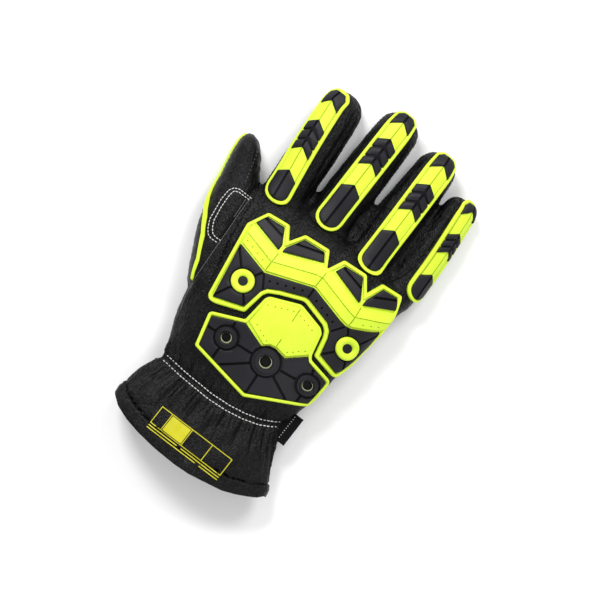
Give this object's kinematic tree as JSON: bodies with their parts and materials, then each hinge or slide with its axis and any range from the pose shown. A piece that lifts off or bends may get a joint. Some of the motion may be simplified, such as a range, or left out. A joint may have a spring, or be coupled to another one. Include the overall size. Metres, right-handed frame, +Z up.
{
  "type": "impact glove",
  "caption": "Right-hand cut and impact resistant leather work glove in black, with fluorescent yellow moulded rubber guards on the back, fingers and thumb, and a flared gathered cuff.",
  "frame": {"origin": "On the resting face, on the plane of the palm's flat underside, under the middle of the hand.", "axes": "+X towards the little finger, +Y along the fingers to their tips, +Z up out of the back of the hand."},
  "size_m": [0.1494, 0.2609, 0.0438],
  "materials": {
    "leather": "black grain leather, slightly worn sheen",
    "yellow_rubber": "fluorescent yellow-green thermoplastic rubber, satin",
    "black_rubber": "charcoal thermoplastic rubber, satin",
    "woven_tag": "black woven tape"
  },
  "bodies": {
    "root": {"back_panel": "leather", "palm_panel": "leather", "fourchette_index_middle": "leather", "fourchette_middle_ring": "leather", "fourchette_ring_little": "leather", "thumb_panel": "leather", "cuff": "leather", "cuff_hem": "leather", "thumb_patch": "leather", "index_guard": "yellow_rubber", "middle_guard": "yellow_rubber", "ring_guard": "yellow_rubber", "little_guard": "yellow_rubber", "thumb_guard": "yellow_rubber", "knuckle_guard": "yellow_rubber", "shield_guard": "yellow_rubber", "ring_left": "yellow_rubber", "ring_right": "yellow_rubber", "knuckle_pad_1": "black_rubber", "knuckle_pad_2": "black_rubber", "knuckle_pad_3": "black_rubber", "knuckle_pad_4": "black_rubber", "knuckle_field": "black_rubber", "shield_field": "black_rubber", "boss_1": "black_rubber", "boss_2": "black_rubber", "boss_3": "black_rubber", "index_base_pad": "black_rubber", "index_chevron_1": "black_rubber", "index_chevron_2": "black_rubber", "index_chevron_3": "black_rubber", "index_tip_pad": "black_rubber", "middle_base_pad": "black_rubber", "middle_chevron_1": "black_rubber", "middle_chevron_2": "black_rubber", "middle_chevron_3": "black_rubber", "middle_tip_pad": "black_rubber", "ring_base_pad": "black_rubber", "ring_chevron_1": "black_rubber", "ring_chevron_2": "black_rubber", "ring_chevron_3": "black_rubber", "ring_tip_pad": "black_rubber", "little_base_pad": "black_rubber", "little_chevron_1": "black_rubber", "little_chevron_2": "black_rubber", "little_chevron_3": "black_rubber", "little_tip_pad": "black_rubber", "side_tag": "woven_tag"}
  },
  "joints": []
}
